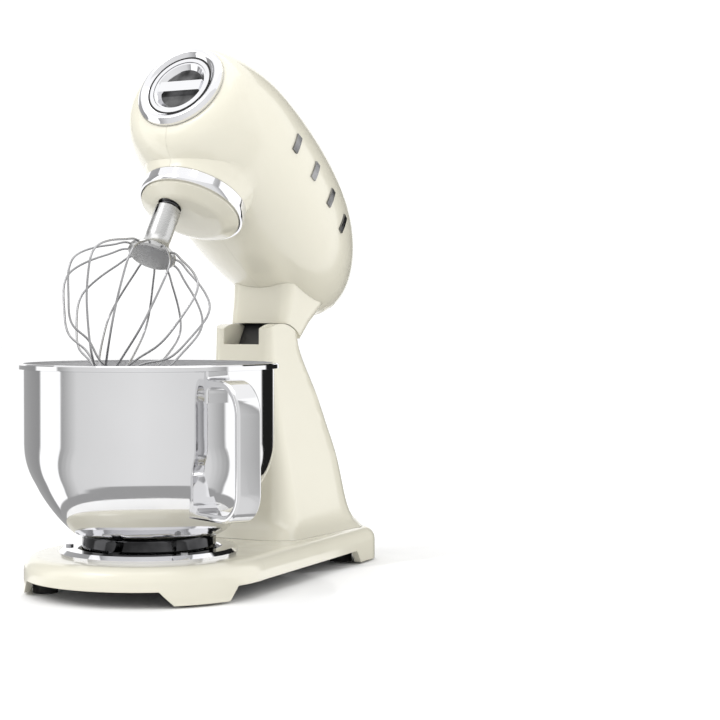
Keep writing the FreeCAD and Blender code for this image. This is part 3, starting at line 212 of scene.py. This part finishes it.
MATERIALS = {
    "cream_paint": cream_paint(),
    "polished_steel": polished_steel(),
    "chrome": chrome(),
    "brushed_steel": turned_steel("brushed_steel", (0.50, 0.50, 0.50), (0.58, 0.58, 0.57),
                                  0.22, 0.36, HEAD_TILT),
    "wire": plain_steel("wire_steel", 0.36, 0.44, 0.16, 0.26),
    "badge_metal": plain_steel("badge_metal", 0.10, 0.34, 0.18, 0.28),
    "bowl_satin": satin_steel(),
    # painted reflection: near-black chrome on the bowl foot stands in for the dark gap it mirrors
    "painted_dark_reflection": plain_steel("painted_dark_reflection", 0.03, 0.09, 0.05, 0.10),
    # painted shade: near-black chrome for the hub cap's recesses, where shade falls
    "recess_painted_shade": plain_steel("recess_painted_shade", 0.015, 0.20, 0.05, 0.10),
    "machined_steel": turned_steel("machined_steel", (0.40, 0.40, 0.41), (0.48, 0.48, 0.49), 0.28, 0.42),
    "spring_steel": turned_steel("spring_steel", (0.15, 0.15, 0.16), (0.21, 0.21, 0.22), 0.32, 0.45),
    "cast_aluminium": cast_aluminium(),
    "rubber": grained("rubber", (0.018, 0.018, 0.018), (0.028, 0.027, 0.026), 0.62, 0.78,
                      1400.0, 0.3, 0.04 * MM, Specular_IOR_Level=0.35),
    "dark_plastic": grained("dark_plastic", (0.022, 0.022, 0.023), (0.032, 0.032, 0.033), 0.36, 0.48,
                            1100.0, 0.2, 0.03 * MM),
    "copper": turned_steel("copper", (0.62, 0.27, 0.13), (0.72, 0.34, 0.17), 0.25, 0.38),
    "circuit_board": grained("circuit_board", (0.015, 0.11, 0.045), (0.022, 0.15, 0.06), 0.30, 0.42,
                             600.0, 0.15, 0.03 * MM),
    "gear_plastic": grained("gear_plastic", (0.66, 0.65, 0.60), (0.72, 0.71, 0.66), 0.35, 0.45,
                            800.0, 0.12, 0.03 * MM, Subsurface_Weight=0.08),
}

# Nodes whose finish differs from the rest of their slot; the bowl foot's near-black chrome is a painted
# reflection of the dark gap under the bowl
OWN_FINISH = {"bowl_foot": "painted_dark_reflection", "side_bars": "badge_metal"}
for entry in frame["record"]["subparts"]:
    node = NODES[entry["node"]]
    node.data.materials.clear()
    node.data.materials.append(MATERIALS[OWN_FINISH.get(entry["node"], entry["material_slot"])])


def paint_recess_shade(node, depth):
    """Paint shade into the faces that lie deeper than the rim of a front disc, with a darker chrome."""
    mesh = node.data
    straight_on = 0.9
    front = Vector((0, -math.cos(HEAD_TILT), math.sin(HEAD_TILT)))
    reach = max(v.co.dot(front) for v in mesh.vertices)
    mesh.materials.append(MATERIALS["recess_painted_shade"])
    for face in mesh.polygons:
        behind = reach - face.center.dot(front)
        if face.normal.dot(front) > straight_on and behind > depth:
            face.material_index = 1


def satin_inside(node):
    """Give the inward faces of a bowl the brushed finish."""
    mesh = node.data
    top = max(v.co.z for v in mesh.vertices)
    mesh.materials.append(MATERIALS["bowl_satin"])
    for face in mesh.polygons:
        out = (face.center - BOWL_AXIS) * Vector((1, 1, 0))
        inward = face.normal.dot(out.normalized()) < -0.25
        floor = face.normal.z > 0.5 and face.center.z < top - 5 * MM
        if inward or floor:
            face.material_index = 1


# Smooth shading of the CAD nodes --------------------------------------------------
SHARP_ANGLE = math.radians(34)
WELD_DISTANCE = 0.002 * MM


def smooth(piece):
    """Shade the curved faces smoothly and keep the sharp edges."""
    mesh = piece.data
    if "custom_normal" in mesh.attributes:
        mesh.attributes.remove(mesh.attributes["custom_normal"])
    mesh.shade_smooth()
    weld = piece.modifiers.new("weld", "WELD")
    weld.merge_threshold = WELD_DISTANCE
    edges = piece.modifiers.new("edges", "EDGE_SPLIT")
    edges.split_angle = SHARP_ANGLE


for node in NODES.values():
    smooth(node)
# painted shade: the hub cap's recesses get the near-black chrome
paint_recess_shade(NODES["hub_cap"], 1.0 * MM)
satin_inside(NODES["bowl_shell"])


# Whisk wires ----------------------------------------------------------------------
def drawn_wires():
    """The whisk's wires at the thickness of drawn spring wire, along the CAD's wires."""
    thinner = 0.30 * MM
    net = bmesh.new()
    net.from_mesh(NODES["whisk_wires"].data)
    bmesh.ops.remove_doubles(net, verts=net.verts[:], dist=WELD_DISTANCE)
    bmesh.ops.recalc_face_normals(net, faces=net.faces[:])
    net.normal_update()
    for vert, inward in [(v, v.normal * -thinner) for v in net.verts]:
        vert.co += inward
    mesh = bpy.data.meshes.new("drawn_wires")
    net.to_mesh(mesh)
    net.free()
    mesh.materials.append(MATERIALS["wire"])
    mesh.shade_smooth()
    wires = bpy.data.objects.new("drawn_wires", mesh)
    bpy.context.scene.collection.objects.link(wires)
    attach(wires, "whisk")
    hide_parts("whisk_wires")


drawn_wires()


# Floor, reflections and light -----------------------------------------------------
def floor_material():
    f = Finish("pale_floor", Specular_IOR_Level=0.25)
    f.tint(f.noise(3.0), (0.90, 0.90, 0.90), (0.915, 0.915, 0.915))
    f.rough(f.noise(30.0), 0.55, 0.65)
    return f.material


def glow():
    """A plain panel whose brightness follows its points."""
    material = bpy.data.materials.new("studio_wall")
    material.use_nodes = True
    tree = material.node_tree
    tree.nodes.remove(tree.nodes["Principled BSDF"])
    level = tree.nodes.new("ShaderNodeAttribute")
    level.attribute_name = "level"
    shine = tree.nodes.new("ShaderNodeEmission")
    tree.links.new(level.outputs["Fac"], shine.inputs["Strength"])
    tree.links.new(shine.outputs[0], tree.nodes["Material Output"].inputs["Surface"])
    return material


def pale_floor(half, cuts):
    """A square sheet under the mixer."""
    mesh = bpy.data.meshes.new("floor")
    net = bmesh.new()
    corners = [(-half, -half, 0), (half, -half, 0), (half, half, 0), (-half, half, 0)]
    net.faces.new([net.verts.new(c) for c in corners])
    bmesh.ops.subdivide_edges(net, edges=net.edges[:], cuts=cuts, use_grid_fill=True)
    net.to_mesh(mesh)
    net.free()
    sheet = bpy.data.objects.new("floor", mesh)
    bpy.context.scene.collection.objects.link(sheet)
    sheet.data.materials.append(floor_material())


pale_floor(9, 4)


# Brightness round the bowl by the angle from the camera's side, in degrees
WALL = [(-180, 1.2), (-144, 1.2), (-141, 0.44), (-105, 0.34), (-102, 1.35), (-77, 1.35), (-75, 0.42),
        (-58, 0.80), (0, 0.92), (55, 0.84), (75, 0.42), (78, 1.3), (126, 1.3), (129, 0.015),
        (160, 0.015), (163, 1.2), (180, 1.2)]
# The same wall from its foot near the base, over the floor and up: radius, height and how far its
# brightness has gone from the floor's to the wall's
OVER_FLOOR = 0.4 * MM
WALL_RISE = [(0.130, OVER_FLOOR, 0.0), (0.150, OVER_FLOOR, 0.0), (0.154, OVER_FLOOR, 1.0),
             (1.40, OVER_FLOOR, 1.0), (1.55, 0.10, 1.0), (1.60, 0.80, 1.0), (1.60, 1.70, 1.0)]
FLOOR_LEVEL = 0.40


def wall_level(angle):
    """The wall's brightness at an angle, straight between the listed ones."""
    for (a, low), (b, high) in zip(WALL, WALL[1:]):
        if angle <= b:
            return low + (high - low) * (angle - a) / (b - a)
    return WALL[-1][1]


def studio_wall():
    """A bright and dark surround that only reflections see."""
    angles = sorted({a for a, _ in WALL} | set(range(-180, 181, 5)))
    points, faces, levels = [], [], []
    for angle in angles:
        turn = Matrix.Rotation(math.radians(angle), 3, "Z")
        for radius, height, share in WALL_RISE:
            points.append(BOWL_AXIS + turn @ (-FORWARD) * radius + UP * height)
            levels.append(FLOOR_LEVEL + (wall_level(angle) - FLOOR_LEVEL) * share)
    rows = len(WALL_RISE)
    for i in range(len(angles) - 1):
        for j in range(rows - 1):
            a = i * rows + j
            faces.append((a, a + rows, a + rows + 1, a + 1))
    mesh = bpy.data.meshes.new("studio_wall")
    mesh.from_pydata(points, [], faces)
    mesh.attributes.new("level", "FLOAT", "POINT").data.foreach_set("value", levels)
    mesh.materials.append(glow())
    wall = bpy.data.objects.new("studio_wall", mesh)
    bpy.context.scene.collection.objects.link(wall)
    wall.visible_camera = wall.visible_diffuse = wall.visible_shadow = False
    wall.visible_transmission = wall.visible_volume_scatter = False


studio_wall()


def lamp(name, place, size, energy):
    """A soft rectangular light turned to the head's middle."""
    light = bpy.data.lights.new(name, "AREA")
    light.shape = "RECTANGLE"
    light.size, light.size_y = size
    light.energy = energy
    obj = bpy.data.objects.new(name, light)
    obj.location = place
    obj.rotation_euler = (HEAD_MIDDLE - place).to_track_quat("-Z", "Y").to_euler()
    bpy.context.scene.collection.objects.link(obj)


HEAD_MIDDLE = Vector((BOWL_AXIS.x, 0.0, 0.30))
lamp("key", HEAD_MIDDLE - RIGHT * 1.5 - FORWARD * 0.9 + UP * 1.3, (1.0, 1.4), 16.0)
lamp("overhead", HEAD_MIDDLE + UP * 2.1, (1.8, 1.8), 11.0)
lamp("fill", HEAD_MIDDLE + RIGHT * 1.8 - FORWARD * 0.8 + UP * 0.5, (0.7, 1.4), 5.0)

# The sky is just over white, so that the backdrop and the lit floor meet without a line
world = bpy.data.worlds.new("studio")
world.use_nodes = True
bpy.context.scene.world = world
sky = world.node_tree.nodes["Background"]
sky.inputs["Color"].default_value = (1.0, 1.0, 1.0, 1)
sky.inputs["Strength"].default_value = 1.12
